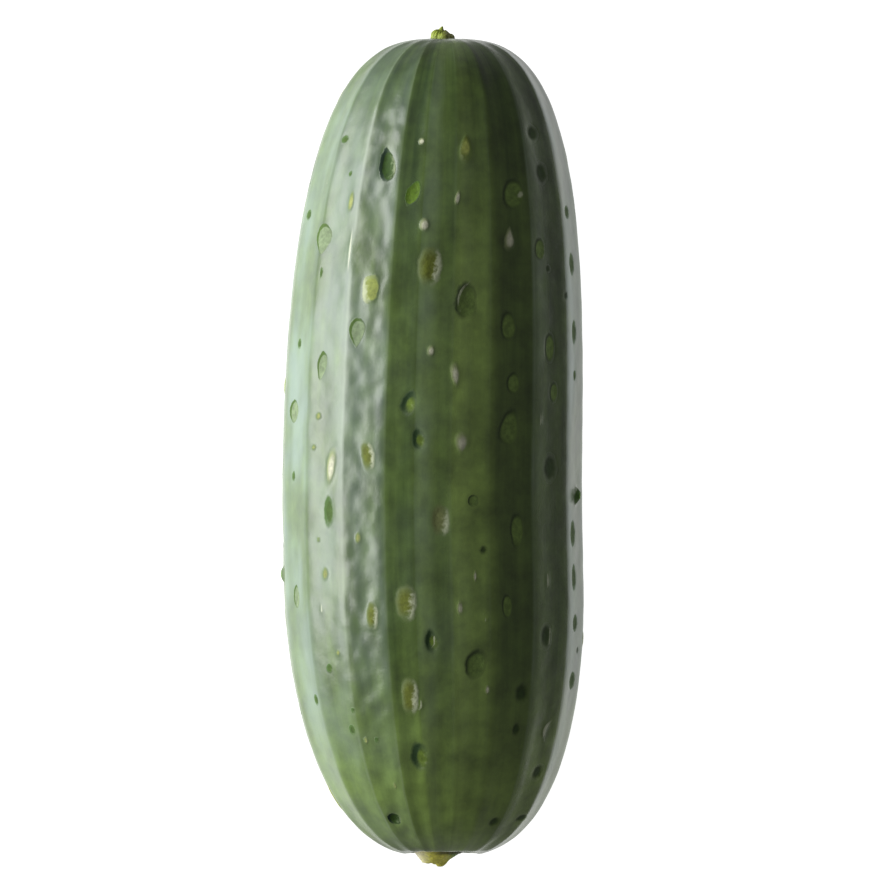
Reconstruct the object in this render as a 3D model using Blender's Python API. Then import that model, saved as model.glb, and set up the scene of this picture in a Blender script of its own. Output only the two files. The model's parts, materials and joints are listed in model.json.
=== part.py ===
"""A pickling cucumber lying on its belly: the ribbed fruit, the stub of its stem and its dried blossom.

Metres, +Z up. The fruit lies along Y with its stem end towards -Y, and rests on the plane Z = 0.
The middle of the whole object's box is above the origin.
"""

import math
from typing import NamedTuple

import bmesh
import bpy
from mathutils import Vector

MM = 0.001


class End(NamedTuple):
    """How one end of the fruit rounds off, and the dimple at its tip."""

    side: int  # +1 towards +Y, -1 towards -Y
    reach: float  # how far along the fruit the rounding runs
    width_power: float  # higher makes the tip blunter
    length_power: float  # higher makes the shoulder fuller
    dimple_depth: float
    dimple_floor: float  # radius of the dimple's floor
    dimple_rim: float  # radius at which the dimple is gone


# The fruit
FRUIT_LENGTH = 136.8 * MM  # before the dimples at its tips
RIB_RADIUS = 25.4 * MM  # from the fruit's axis to the crest of a rib
FACET_HOLLOW = 0.18 * MM  # how far the middle of a facet dips below a flat one
BELLY_DROP = 24.4 * MM  # from the axis down to the flat that the fruit's weight has pressed
STEM_END = End(-1, 47.0 * MM, 2.7, 2.1, 1.1 * MM, 4.8 * MM, 6.6 * MM)
BLOSSOM_END = End(1, 80.0 * MM, 3.1, 3.0, 0.4 * MM, 2.4 * MM, 4.4 * MM)

# The ribs, in degrees around the fruit from its top towards +X. Between each two is a facet, and
# the fruit rests on the widest one, which isn't hollow.
RIBS = (-168, -146, -124, -100, -76, -55, -36, -19, -6, 8, 23, 42, 64, 86, 107, 128, 148, 168)
RESTING_RIBS = (168, 192)
FACET_STRIPS = 4  # mesh strips across one facet
RINGS = 49

# The fruit's axis bends sideways, towards +X at both ends
BEND = 2.1 * MM  # how far, half a fruit's length away from the middle of the bend
BEND_POWER = 1.4
BEND_MIDDLE = -7 * MM  # where that middle is along the fruit

# The stub of the stem: (radius, height above its seat) in millimetres, up to its broken tip
STUB_PROFILE = ((4.4, 0.0), (4.4, 0.5), (3.0, 1.2), (2.0, 1.9), (1.4, 2.1), (0.6, 2.4))
STUB_LEAN = -0.42  # sideways shift for each unit of height
STUB_PLACE = -0.8 * MM  # its seat's distance from the fruit's axis, towards +X

# The dried blossom, in the same way
BLOSSOM_PROFILE = ((1.9, 0.0), (2.15, 0.4), (1.9, 0.9), (0.9, 1.4), (0.3, 1.8), (0.1, 2.2))
BLOSSOM_LEAN = 0.0
BLOSSOM_PLACE = 0.0

CORNERS = 5  # a cucumber's stem and its blossom both have five corners
CORNER_SHARE = 0.05  # how far the corners stand out, as a share of the radius
TURN_STEPS = 30
SEAT_GAP = 0.3 * MM  # left between the fruit and each piece seated on it
WELD = 0.001 * MM


def smooth_step(share):
    """0 below 0, 1 above 1, and a smooth rise between."""
    share = min(max(share, 0.0), 1.0)
    return share * share * (3 - 2 * share)


def clear_scene():
    for thing in list(bpy.data.objects):
        bpy.data.objects.remove(thing)


def skin_material(name, colour, roughness):
    """A matt plant surface of one colour, given as linear red, green and blue."""
    material = bpy.data.materials.new(name)
    material.use_nodes = True
    shader = material.node_tree.nodes["Principled BSDF"]
    shader.inputs["Base Color"].default_value = (*colour, 1.0)
    shader.inputs["Roughness"].default_value = roughness
    shader.inputs["Metallic"].default_value = 0.0
    material.diffuse_color = (*colour, 1.0)
    return material


def add_piece(name, builder, material, collection):
    """Makes the finished bmesh an object, smooth all over but for the edges that are sharp."""
    mesh = bpy.data.meshes.new(name)
    builder.to_mesh(mesh)
    builder.free()
    mesh.materials.append(material)
    mesh.shade_smooth()
    mesh.set_sharp_from_angle(angle=math.radians(12))
    piece = bpy.data.objects.new(name, mesh)
    collection.objects.link(piece)
    return piece


def dimple(end, radius):
    """How far the tip's surface is pushed in at this distance from the axis."""
    up_the_wall = (radius - end.dimple_floor) / (end.dimple_rim - end.dimple_floor)
    return end.dimple_depth * (1 - smooth_step(up_the_wall))


def along_fruit(end, share):
    """Place along Y of the ring whose radius is this share of the fruit's full radius."""
    rounding = (1 - share**end.width_power) ** (1 / end.length_power)
    from_tip = end.reach * (1 - rounding) + dimple(end, share * RIB_RADIUS)
    return end.side * (FRUIT_LENGTH / 2 - from_tip)


def axis_sideways(y):
    """Place of the fruit's bent axis along X."""
    return BEND * abs((y - BEND_MIDDLE) / (FRUIT_LENGTH / 2)) ** BEND_POWER


def facet_point(meridian):
    """Angle round the fruit, and the surface's distance from the axis there as a share of a rib's."""
    facet, strip = divmod(meridian, FACET_STRIPS)
    ribs = (*RIBS, RIBS[0] + 360)
    first, last = ribs[facet], ribs[facet + 1]
    angle = first + (last - first) * strip / FACET_STRIPS
    half_width = math.radians(last - first) / 2
    flat = math.cos(half_width) / math.cos(math.radians(angle - (first + last) / 2))
    hollow = 0 if (first, last) == RESTING_RIBS else FACET_HOLLOW / RIB_RADIUS
    return math.radians(angle), flat - hollow * math.sin(math.pi * strip / FACET_STRIPS)


def fruit_point(on_sphere):
    """Where a point of the unit sphere, whose poles become the fruit's two tips, ends up."""
    meridians = len(RIBS) * FACET_STRIPS
    meridian = round(math.atan2(on_sphere.y, on_sphere.x) / math.tau * meridians) % meridians
    share = math.hypot(on_sphere.x, on_sphere.y)
    end = BLOSSOM_END if on_sphere.z > 0 else STEM_END
    y = along_fruit(end, share)
    angle, facet_share = facet_point(meridian)
    radius = RIB_RADIUS * share * facet_share
    height = max(radius * math.cos(angle), -BELLY_DROP)
    return Vector((axis_sideways(y) + radius * math.sin(angle), y, height))


def add_fruit(collection):
    builder = bmesh.new()
    meridians = len(RIBS) * FACET_STRIPS
    bmesh.ops.create_uvsphere(builder, u_segments=meridians, v_segments=RINGS, radius=1.0)
    for vertex in builder.verts:
        vertex.co = fruit_point(vertex.co)
    skin = skin_material("cucumber_skin", (0.07, 0.13, 0.035), 0.4)
    return add_piece("fruit", builder, skin, collection)


def turned(profile, lean):
    """A five-cornered solid turned from a profile in millimetres, standing on Z = 0 and leaning over."""
    builder = bmesh.new()
    outline = [(0.0, profile[0][1]), *profile, (0.0, profile[-1][1])]
    points = [builder.verts.new((radius * MM, 0.0, height * MM)) for radius, height in outline]
    edges = [builder.edges.new(pair) for pair in zip(points, points[1:])]
    bmesh.ops.spin(
        builder, geom=points + edges, cent=(0, 0, 0), axis=(0, 0, 1), angle=math.tau, steps=TURN_STEPS
    )
    bmesh.ops.remove_doubles(builder, verts=builder.verts, dist=WELD)
    bmesh.ops.recalc_face_normals(builder, faces=builder.faces)
    for vertex in builder.verts:
        corner = 1 + CORNER_SHARE * math.cos(CORNERS * math.atan2(vertex.co.y, vertex.co.x))
        vertex.co.x = vertex.co.x * corner + lean * vertex.co.z
        vertex.co.y *= corner
    return builder


def add_seated(name, profile, lean, place, end, material, collection):
    """A turned piece that stands in the dimple at one tip of the fruit, pointing away from it."""
    piece = add_piece(name, turned(profile, lean), material, collection)
    seat = end.side * (FRUIT_LENGTH / 2 - end.dimple_depth + SEAT_GAP)
    piece.rotation_euler.x = math.radians(-90 * end.side)
    piece.location = (axis_sideways(seat) + place, seat, 0.0)
    return piece


def stand_on_origin(pieces):
    """Moves the pieces together, so that their box stands on Z = 0 with its middle above the origin."""
    bpy.context.view_layer.update()
    corners = [piece.matrix_world @ vertex.co for piece in pieces for vertex in piece.data.vertices]
    lowest = [min(corner[side] for corner in corners) for side in range(3)]
    highest = [max(corner[side] for corner in corners) for side in range(3)]
    shift = Vector(((lowest[0] + highest[0]) / 2, (lowest[1] + highest[1]) / 2, lowest[2]))
    for piece in pieces:
        piece.location -= shift


def main():
    clear_scene()
    collection = bpy.data.collections.new("cucumber")
    bpy.context.scene.collection.children.link(collection)
    stub_skin = skin_material("stem_stub_skin", (0.42, 0.43, 0.08), 0.6)
    dried = skin_material("dried_blossom", (0.20, 0.24, 0.05), 0.75)
    fruit = add_fruit(collection)
    stub = add_seated(
        "stem_stub", STUB_PROFILE, STUB_LEAN, STUB_PLACE, STEM_END, stub_skin, collection
    )
    blossom = add_seated(
        "blossom_remnant", BLOSSOM_PROFILE, BLOSSOM_LEAN, BLOSSOM_PLACE, BLOSSOM_END, dried, collection
    )
    stand_on_origin([fruit, stub, blossom])


main()
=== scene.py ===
"""The looks of a pickling cucumber: its skin, stem stub and dried blossom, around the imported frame.

Metres, +Z up. The fruit lies along Y with its stem end towards -Y. Angles go round the fruit from its
top, in degrees, towards +X.
"""

import json
import math
import random
from functools import partial
from typing import NamedTuple

import bmesh
import bpy
import numpy
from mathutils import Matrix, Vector, noise

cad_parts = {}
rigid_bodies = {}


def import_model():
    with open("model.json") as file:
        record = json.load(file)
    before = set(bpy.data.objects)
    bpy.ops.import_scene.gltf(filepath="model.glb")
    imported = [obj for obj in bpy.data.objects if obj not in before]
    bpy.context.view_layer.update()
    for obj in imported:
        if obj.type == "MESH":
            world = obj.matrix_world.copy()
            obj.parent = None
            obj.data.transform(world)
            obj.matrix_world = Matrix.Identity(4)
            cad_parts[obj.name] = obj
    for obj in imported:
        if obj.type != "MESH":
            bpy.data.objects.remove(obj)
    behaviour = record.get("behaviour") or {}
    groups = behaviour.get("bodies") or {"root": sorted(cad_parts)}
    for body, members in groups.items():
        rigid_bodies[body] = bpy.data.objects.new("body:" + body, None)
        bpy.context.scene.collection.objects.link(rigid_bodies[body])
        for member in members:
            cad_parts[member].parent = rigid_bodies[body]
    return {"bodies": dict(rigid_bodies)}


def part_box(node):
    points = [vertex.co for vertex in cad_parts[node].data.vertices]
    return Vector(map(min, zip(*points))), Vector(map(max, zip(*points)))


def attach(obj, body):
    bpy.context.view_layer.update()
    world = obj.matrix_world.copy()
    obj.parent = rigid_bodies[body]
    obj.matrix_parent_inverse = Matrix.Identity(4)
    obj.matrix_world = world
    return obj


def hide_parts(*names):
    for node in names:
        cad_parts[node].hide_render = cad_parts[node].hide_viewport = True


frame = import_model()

bl_info = {
    "name": "Pickling Cucumber",
    "version": (1, 0, 0),
    "blender": (4, 5, 0),
    "location": "3D View > Sidebar > Cucumber",
    "description": "Builds the skin, stem stub and dried blossom of a cucumber",
    "category": "Add Mesh",
}

MM = 0.001
(BODY,) = frame["bodies"]  # nothing moves, so the whole object is one body
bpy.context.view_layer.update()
WELD = 0.001 * MM

# The boxes of the frame's solids
_, FRUIT_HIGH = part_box("fruit")
STUB_LOW, STUB_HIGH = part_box("stem_stub")
BLOSSOM_LOW, BLOSSOM_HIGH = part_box("blossom_remnant")
AXIS_HEIGHT = (BLOSSOM_LOW.z + BLOSSOM_HIGH.z) / 2


class End(NamedTuple):
    """How one end of the fruit rounds off, and the dimple at its tip."""

    side: int  # +1 towards +Y, -1 towards -Y
    tip: float  # place along Y, before the dimple
    reach: float  # how far along the fruit the rounding runs
    width_power: float  # higher makes the tip blunter
    length_power: float  # higher makes the shoulder fuller
    dimple_depth: float
    dimple_floor: float  # radius of the dimple's floor
    dimple_rim: float  # radius at which the dimple is gone


class Seat(NamedTuple):
    """Where a piece is seated in the dimple at one tip of the fruit."""

    centre: Vector
    radius: float
    side: int  # +1 where it points towards +Y, -1 where it points towards -Y


STEM_DIMPLE = 1.1 * MM
BLOSSOM_DIMPLE = 0.4 * MM
SEAT_GAP = 0.3 * MM  # left between the fruit and each piece seated on it
STEM_TIP = STUB_HIGH.y - STEM_DIMPLE + SEAT_GAP
BLOSSOM_TIP = BLOSSOM_LOW.y + BLOSSOM_DIMPLE - SEAT_GAP
STEM_END = End(-1, STEM_TIP, 47 * MM, 2.7, 2.1, STEM_DIMPLE, 4.8 * MM, 6.6 * MM)
BLOSSOM_END = End(1, BLOSSOM_TIP, 80 * MM, 3.1, 3.0, BLOSSOM_DIMPLE, 2.4 * MM, 4.4 * MM)
STUB_SEAT = Seat(
    Vector(((STUB_LOW.x + STUB_HIGH.x) / 2, STUB_HIGH.y, AXIS_HEIGHT)),
    (STUB_HIGH.z - STUB_LOW.z) / 2,
    STEM_END.side,
)
BLOSSOM_SHIFT = -0.6 * MM  # the dried flower sits a little aside, towards +X where positive
BLOSSOM_SEAT = Seat(
    Vector(((BLOSSOM_LOW.x + BLOSSOM_HIGH.x) / 2 + BLOSSOM_SHIFT, BLOSSOM_LOW.y, AXIS_HEIGHT)),
    (BLOSSOM_HIGH.z - BLOSSOM_LOW.z) / 2,
    BLOSSOM_END.side,
)
FRUIT_LENGTH = BLOSSOM_TIP - STEM_TIP
FRUIT_MIDDLE = (BLOSSOM_TIP + STEM_TIP) / 2


class Facet(NamedTuple):
    """A rib, and the flat side between it and the next rib."""

    rib: int  # degrees
    tint: float  # how light the side's green is, partly its own tone and partly painted light and shade
    bloom: float  # how much bloom it has kept, with painted sheen laid on thickest where the side faces the window or mirrors the bright table
    lean: float  # how much more of both it has beside this rib than beside the next
    dents: float
    thread: float  # how pale a line the rib makes, partly its own colour and partly a painted highlight along the crest


# The fruit rests on the last one, which its weight has pressed flat. On the sides seen from above,
# the tints and bloom carry painted light and shade: paler towards the window at -X, darker away from
# it, and pale on the side at 64 degrees, which stands in for the bright table's reflection
FACETS = (
    Facet(-168, 0.4, 0.4, 0.0, 0.3, 0.2),
    Facet(-146, 0.5, 0.6, 0.0, 0.3, 0.2),
    Facet(-124, 0.3, 0.7, 0.0, 0.3, 0.2),
    Facet(-100, 0.35, 0.9, 0.0, 0.3, 0.3),
    Facet(-76, 0.35, 1.4, 0.0, 0.3, 0.3),
    Facet(-55, 0.2, 0.8, 0.0, 0.5, 0.2),
    Facet(-36, 0.16, 0.5, 0.0, 1.0, 0.5),
    Facet(-18, 0.16, 0.12, 0.0, 0.6, 0.3),
    Facet(-6, 0.4, 0.33, 0.6, 0.35, 0.0),
    Facet(8, 0.85, 0.15, 0.5, 0.25, 0.0),
    Facet(23, 0.22, 0.0, 0.2, 0.25, 0.0),
    Facet(42, 0.2, 0.14, 0.9, 0.3, 0.35),
    Facet(64, 0.35, 1.2, 0.5, 0.3, 0.4),
    Facet(86, 0.4, 0.6, 0.3, 0.3, 0.3),
    Facet(107, 0.3, 0.5, 0.3, 0.3, 0.2),
    Facet(128, 0.5, 0.6, 0.3, 0.3, 0.2),
    Facet(148, 0.35, 0.5, 0.3, 0.3, 0.2),
    Facet(168, 0.6, 0.3, 0.0, 0.0, 0.2),
)
HIGHEST_RIB = min(abs(facet.rib) for facet in FACETS)
RIB_RADIUS = (FRUIT_HIGH.z - AXIS_HEIGHT) / math.cos(math.radians(HIGHEST_RIB))
RIB_ROUNDING = 0.005  # how far a rib's crest is worn down, against the radius
RIB_SHARE = 0.2  # share of a facet, at either side of it, that a worn crest takes up
RIB_BLEND = 0.16  # share of a facet over which its green turns into its neighbour's
LEAN_START = 0.2  # share of a facet at which its leaning bloom starts to thin
LEAN_WIDTH = 0.4  # share of a facet over which it does
FACET_STRIPS = 16  # mesh strips across one facet

# Along the fruit
RINGS = 326
OUTLINE_STEPS = 3000  # fine steps that the even rings are read from
AXIS_SHIFT = -0.33 * MM  # the axis at the middle of its bend, from the box's middle
BEND = 2.1 * MM  # how far the axis has bent, half a fruit's length away from there
BEND_POWER = 1.4
BEND_MIDDLE = FRUIT_MIDDLE - 7 * MM
NOTCH_DEPTH = 1.2 * MM  # how far the upper rim of the stem's dimple is drawn in
NOTCH_REACH = 9 * MM  # from the fruit's axis
END_FLUTING = 5  # how much deeper the facets are hollowed at the tips, against their radius
LUMP_STRETCH = 0.8  # below 1, the skin's lumps are longer than wide
LUMP_SEED = 4.0

# Where along Y the facets' own greens and bloom set in, how much of them shows before that, and how
# light all facets are there
STEM_FADE = (STEM_TIP + 12 * MM, STEM_TIP + 34 * MM)
STEM_SHARE = 0.4
STEM_END_TINT = 0.78

# Painted shade at the blossom end: where along Y it grows darker, how light it becomes on its -X side,
# towards the window, and on its +X side, away from it, and where between them, in radians, the one
# turns into the other
BLOSSOM_FADE = (BLOSSOM_TIP - 42 * MM, BLOSSOM_TIP - 8 * MM)
BLOSSOM_END_SHADES = (0.7, 0.4)
BLOSSOM_END_TURN = (-0.1, 0.2)

# Where along Y the bloom, with the sheen painted into it, thins towards the blossom end as painted shade,
# and how much of it is left
BLOSSOM_SHEEN_FADE = (BLOSSOM_TIP - 17 * MM, BLOSSOM_TIP - 3 * MM)
BLOSSOM_SHEEN_SHARE = 0.45


class WartKind(NamedTuple):
    """One look that a wart can have. All but the colours and the height count in shares of the wart."""

    core: str
    edge: str
    height: float  # millimetres
    rim: float  # how wide the edge's colour is
    softness: float  # how far its outline fades
    shift: float  # how far the core leans towards +X and the stem end, the side painted as lit
    glint: float  # painted highlight, partly pale crust, on its +X side, or on its -X side where negative
    power: float  # 2 is an ellipse, below that it is pointed, and above it has shoulders


KINDS = {
    "drop": WartKind("#2a4802", "#0c2c12", -0.45, 0.12, 0.10, 0.25, 0.45, 1.9),
    "eye": WartKind("#5f7620", "#1c3a10", -0.22, 0.44, 0.40, 0.45, 0.3, 1.9),
    "leaf": WartKind("#527004", "#44660c", -0.12, 0.10, 0.06, 0.0, 0.0, 1.5),
    "cream": WartKind("#c9cab0", "#8f9a6c", 0.18, 0.24, 0.50, 0.1, 0.3, 2.0),
    "buttery": WartKind("#a9b35c", "#66742a", 0.18, 0.35, 0.40, -0.2, -0.5, 1.9),
    "primrose": WartKind("#8f9656", "#6f824a", 0.14, 0.25, 0.50, 0.0, 0.3, 2.0),
    "olive": WartKind("#68803e", "#33431f", -0.14, 0.12, 0.32, 0.15, 0.0, 2.2),
    "golden": WartKind("#626c1c", "#66743a", 0.10, 0.22, 0.40, 0.0, 0.95, 2.4),
    "gilded": WartKind("#8c984a", "#8c9a5a", 0.20, 0.15, 0.20, 0.1, -0.9, 3.0),
    "corky": WartKind("#687040", "#5c6436", -0.15, 0.25, 0.45, 0.0, 0.9, 2.4),
    "pale": WartKind("#7a8c68", "#46621f", -0.10, 0.10, 0.10, 0.25, 0.1, 1.6),
    "dark": WartKind("#2e4418", "#26380f", -0.10, 0.30, 0.60, 0.0, 0.0, 2.0),
    "green": WartKind("#3e5a18", "#4c6c30", -0.12, 0.25, 0.25, 0.1, 0.15, 1.9),
    "spine": WartKind("#5c8a24", "#3a5c14", 1.30, 0.40, 0.15, 0.0, 0.0, 2.0),
}

# Warts on the upper side: (angle, millimetres from the stem end, width, length, lean in degrees, taper
# towards the blossom end)
WARTS = {
    "drop": (
        (-24.5, 115.3, 2.9, 5.6, -14, 0.3), (-30, 6.5, 2.5, 1.8, 0, 0),
    ),
    "eye": (
        (-8.8, 75.8, 3.0, 5.0, 16, 0.35), (-5, 69.6, 2.5, 4.1, -10, 0.1), (-8.2, 17.2, 3.4, 5.5, 0, 0),
        (-1, 36.3, 2.6, 4.5, -8, 0.2),
    ),
    "leaf": ((-11, 110.4, 2.5, 4.5, 22, 0.1),),
    "cream": (
        (-5.5, 105.1, 1.9, 2.5, 0, 0), (-9, 119, 1.3, 1.3, 0, 0),
        (8, 109.7, 1.0, 3.0, 10, 0.3), (-1, 84.3, 1.5, 2.2, 0, 0), (8.5, 80.3, 1.8, 4.8, -8, -0.3),
        (11.5, 69, 2.5, 4.0, 0, -0.4), (-41.5, 65, 2.4, 7.0, 8, -0.2), (16.5, 47, 0.8, 2.3, 0, 0),
        (10.3, 41.7, 1.3, 3.0, 0, 0), (21.2, 28.2, 1.0, 2.0, 0, 0), (31, 103, 2.0, 4.5, 0, 0.6),
        (-82, 127, 2.0, 3.5, 0, 0),
    ),
    "buttery": ((12, 117.8, 2.6, 5.3, 0, 0.45),),
    "primrose": (
        (-40, 109, 1.6, 4.0, 0, 0), (-29, 53.3, 1.5, 2.5, 0, 0), (-45.2, 47.3, 1.8, 2.6, 0, 0),
        (-22.5, 12.2, 0.9, 1.6, 0, 0), (-51, 68.3, 1.3, 1.3, 0, 0), (-49, 73.5, 1.5, 1.5, 0, 0),
        (-48.5, 53, 1.0, 1.2, 0, 0), (-32.7, 19.7, 1.0, 1.4, 0, 0), (-40.7, 34.2, 1.3, 1.3, 0, 0),
    ),
    "olive": (
        (33.5, 110.3, 4.9, 6.0, 0, 0), (12, 92.5, 4.2, 6.5, 0, 0.1), (30, 88.5, 3.3, 5.5, 0, 0),
        (32.5, 79, 2.9, 4.0, 0, 0), (31, 71.7, 4.4, 7.0, 10, 0.3), (34.5, 54.5, 2.9, 6.5, 0, 0),
        (54.7, 77.5, 2.4, 4.0, 0, 0), (52, 85, 2.9, 5.5, 0, 0.1), (29.5, 42, 2.2, 4.5, 0, 0),
        (16, 32.3, 4.0, 5.3, 10, 0), (46.5, 101.3, 3.2, 4.0, 0, 0), (16, 59.5, 2.0, 2.2, 0, 0),
    ),
    "golden": (
        (-2.5, 98, 4.0, 7.0, 0, 0), (-25, 67, 2.8, 6.0, -12, 0), (-24, 40.5, 2.4, 5.0, 0, 0),
        (-10.2, 42.4, 4.0, 6.5, 0, 0), (-10.5, 27, 3.0, 6.5, 0, 0),
    ),
    "gilded": ((-26.5, 94.5, 3.1, 5.0, 0, 0),),
    "corky": ((3.5, 56.3, 3.5, 6.0, 0, 0),),
    "pale": (
        (-54, 103, 4.0, 5.0, 0, -0.4), (-31.5, 87.5, 3.0, 5.0, 0, -0.3), (-48.5, 81.8, 2.2, 5.0, 10, -0.3),
        (-68, 74.3, 3.5, 4.0, 0, 0), (-66, 43.5, 2.2, 4.0, 0, 0),
    ),
    "dark": (
        (52.5, 114, 3.5, 4.0, 0, 0), (50.5, 120.5, 3.5, 3.5, 0, 0), (52, 98, 1.5, 1.5, 0, 0),
        (52.7, 64.8, 4.0, 5.5, 0, 0), (20, 51.3, 2.0, 2.0, 0, 0), (49.5, 37, 3.5, 5.0, 0, 0.1),
        (37.5, 27.5, 3.6, 4.5, 0, 0), (36.5, 21.5, 1.8, 2.5, 0, 0), (57.2, 14.2, 3.7, 3.3, 0, 0),
        (61.5, 6.5, 4.0, 1.5, 0, 0), (37, 6, 2.6, 2.0, 0, 0), (63.5, 93.5, 1.5, 1.8, 0, 0),
        (79, 34.5, 1.5, 1.5, 0, 0),
    ),
    "green": (
        (-52, 119.5, 1.8, 1.5, 0, 0), (-43.5, 113.7, 1.0, 1.2, 0, 0), (-43, 57.7, 2.6, 5.5, 0, 0.1),
        (-71, 107, 2.0, 2.0, 0, 0), (72, 107.5, 3.5, 2.5, 0, 0), (73, 98.8, 3.5, 4.0, 0, 0),
        (73, 87.5, 3.3, 4.5, 0, 0), (73.5, 80.3, 2.0, 2.0, 0, 0), (71, 53.8, 3.5, 4.5, 0, 0),
        (71.5, 46.5, 3.0, 5.0, 0, 0), (73.5, 39, 3.2, 3.0, 0, 0), (75, 29.5, 4.0, 3.0, 0, 0),
        (-58.5, 26.3, 1.8, 2.0, 0, 0), (-39, 21.5, 1.8, 2.0, 0, 0), (-46.7, 31.7, 1.6, 1.8, 0, 0),
        (-52.5, 97.3, 0.8, 2.0, 0, 0), (-66, 85.5, 1.8, 2.2, 0, 0), (-67, 63.5, 1.5, 2.0, 0, 0),
        (-27.5, 19.8, 1.0, 1.2, 0, 0), (-36.5, 24.7, 1.0, 1.2, 0, 0),
    ),
    "spine": ((76, 60.3, 1.6, 3.2, 20, 0.5), (-84, 47.2, 1.2, 3.4, 0, 0.2)),
}

# Dried hairs left by the prickles, and at -37.3 degrees a long pale line along the rib that is a painted
# highlight: (angle, millimetres from the stem end, width, length, lean in degrees, how far the middle
# bows towards +X)
HAIRS = (
    (9.5, 93.6, 0.5, 6.5, 18, -1.6), (0.2, 36.6, 0.4, 3.6, -8, 1.0), (52, 37, 0.5, 4.6, 0, 0.8),
    (54.5, 21.3, 0.9, 4.2, 12, -1.4), (50.3, 46.2, 0.5, 3.6, 0, 0.4), (-48, 41.3, 0.4, 2.4, -14, -0.6),
    (-6, 25.6, 0.4, 2.6, 14, 0.6), (37.5, 110.2, 1.0, 1.5, 40, 0.3), (-57, 111.5, 0.3, 3.0, -6, 0.5),
    (-37.3, 101, 0.5, 10.0, 0, 0.2), (20, 40, 0.3, 2.2, -10, 0.4), (46, 72.5, 0.4, 3.4, 8, 0.4),
)
MIDDLE_ALONG = 68.2  # millimetres from the stem end to the middle of the fruit

# Warts scattered over the sides and the underside, with their sizes in millimetres
HIDDEN_KINDS = ("drop", "olive", "golden", "pale", "green", "eye", "dark", "gilded")
HIDDEN_ANGLES = (88, 158)  # on either side; the fruit rests on what lies between them
HIDDEN_WARTS = 56
HIDDEN_MARGIN = 6  # kept bare at either end
HIDDEN_WIDTHS = (1.2, 4.2)
HIDDEN_STRETCHES = (1.1, 1.9)  # length against width
HIDDEN_LEAN = 18  # degrees, either way
HIDDEN_TAPER = 0.3  # either way
HIDDEN_SPACING = 8.5 * MM
HIDDEN_SQUASH = 0.7  # how much lengths count for when they are spaced out
SCATTER_SEED = 11

# How marks lie on the skin. All but the first three count in shares of the mark.
SQUASH = 0.5  # marks are long, so lengths count for half when the nearest one is looked up
FULL_WART = 2.5  # millimetres; a narrower wart stands less high
HAIR_HEIGHT = 0.12 * MM
NARROWEST = 0.3  # how narrow a tapering mark may become
FARTHEST = 3.0  # no distance from a mark's middle counts for more
DOME = (1.1, 0.4)  # from a mark's middle, where its dome starts to rise and where it is full

# How a wart is coloured, in shares of it
WART_OUTLINE = 1.05
EDGE_GRAIN = 0.2  # how far grains shift its outline
EDGE_WAVES = 0.6  # how far broader blotches do
SLANT = -0.5  # its side painted as lit is +X, turned by this much towards the stem end
RIM_FADE = (0.7, -0.4)  # from its painted lit side to its painted shaded one, where its edge colour sets in as painted shade
RIM_FAINTEST = 0.15  # how much edge colour the painted lit side has
SPECKLES = (0.8, 1.2)  # how dark and how light they make its core
GLINT_CRUST_SLANT = -0.2  # the crust and its painted highlight too are turned towards the stem end
GLINT_CRUST_GRAIN = 1.2  # how far grains shift its border
GLINT_CRUST_FADE = (0.15, 0.7)  # towards its side, where it starts and where it is full
GLINT_CRUST_COVER = 0.9
HAIR_FADE = (1.15, 0.5)  # from a hair's middle, where it starts and where it is full
HAIR_COVER = 0.75

# The skin's patterns, wax and relief
STREAK_WIDTH = 2.6 * MM
STREAK_STRETCH = 0.06  # lengthwise, so that a streak is some 40 mm long
STREAK_STRENGTH = 0.14
MOTTLE_SIZE = 5 * MM
MOTTLE_SHADES = (0.6, 1.45)  # how dark and how light it makes the green
BLOOM_SIZE = 7 * MM
BLOOM_STRETCH = 0.4
BLOOM_THINNEST = 0.3  # between its clouds
GRAIN_SIZE = 0.9 * MM
PORE_SIZE = 1.3 * MM
PORE_STRENGTH = 0.12
PORE_DEPTH = 0.25 * MM
CRUST_STRENGTH = 0.3
CRUST_DEPTH = 0.3 * MM
WAX_ROUGHNESS = 0.26
BLOOM_ROUGHNESS = 0.4
WART_ROUGHNESS = 0.8
WAX_IOR = 1.5

# The pieces seated on the fruit's tips
ROOT_DEPTH = 1.5 * MM  # how far they grow down into the fruit
CAP_RINGS = 44
CAP_STEPS = 120
CORNERS = 5  # a cucumber's stem and its blossom both have five corners
CORNER_SHARE = 0.05  # how far the corners stand out, as a share of the radius
CAP_SHARP = 60  # degrees

# The stub, with its places measured from the middle of its seat
STUB_HEIGHT = 1.75 * MM
STUB_CROWN = -0.6 * MM  # the torn top's middle along X
STUB_FOOT = (3.2 * MM, 4.6 * MM)  # how far its slope reaches from there, towards -X and +X
STUB_BRINK = (0.6, 0.32)  # share of that reach at which the slope starts, likewise
TOOTH_PLACE = (0.45 * MM, 0.3 * MM)
TOOTH_HEIGHT = 0.55 * MM
TOOTH_REACH = 1.0 * MM
TOOTH_WALL = 0.6 * MM
TOOTH_GENTLENESS = 0.55  # its +X side slopes away more gently
FLAKE_PLACE = (-0.6 * MM, 0.3 * MM)
FLAKE_HEIGHT = 0.25 * MM
FLAKE_REACH = 0.4 * MM
RAGS_REACH = 6  # higher, and its rags reach closer to the rim
STUB_RAGS = ((0.14 * MM, 1.1 * MM, 3.1), (0.06 * MM, 0.4 * MM, 7.7))  # height, size and seed

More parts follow.
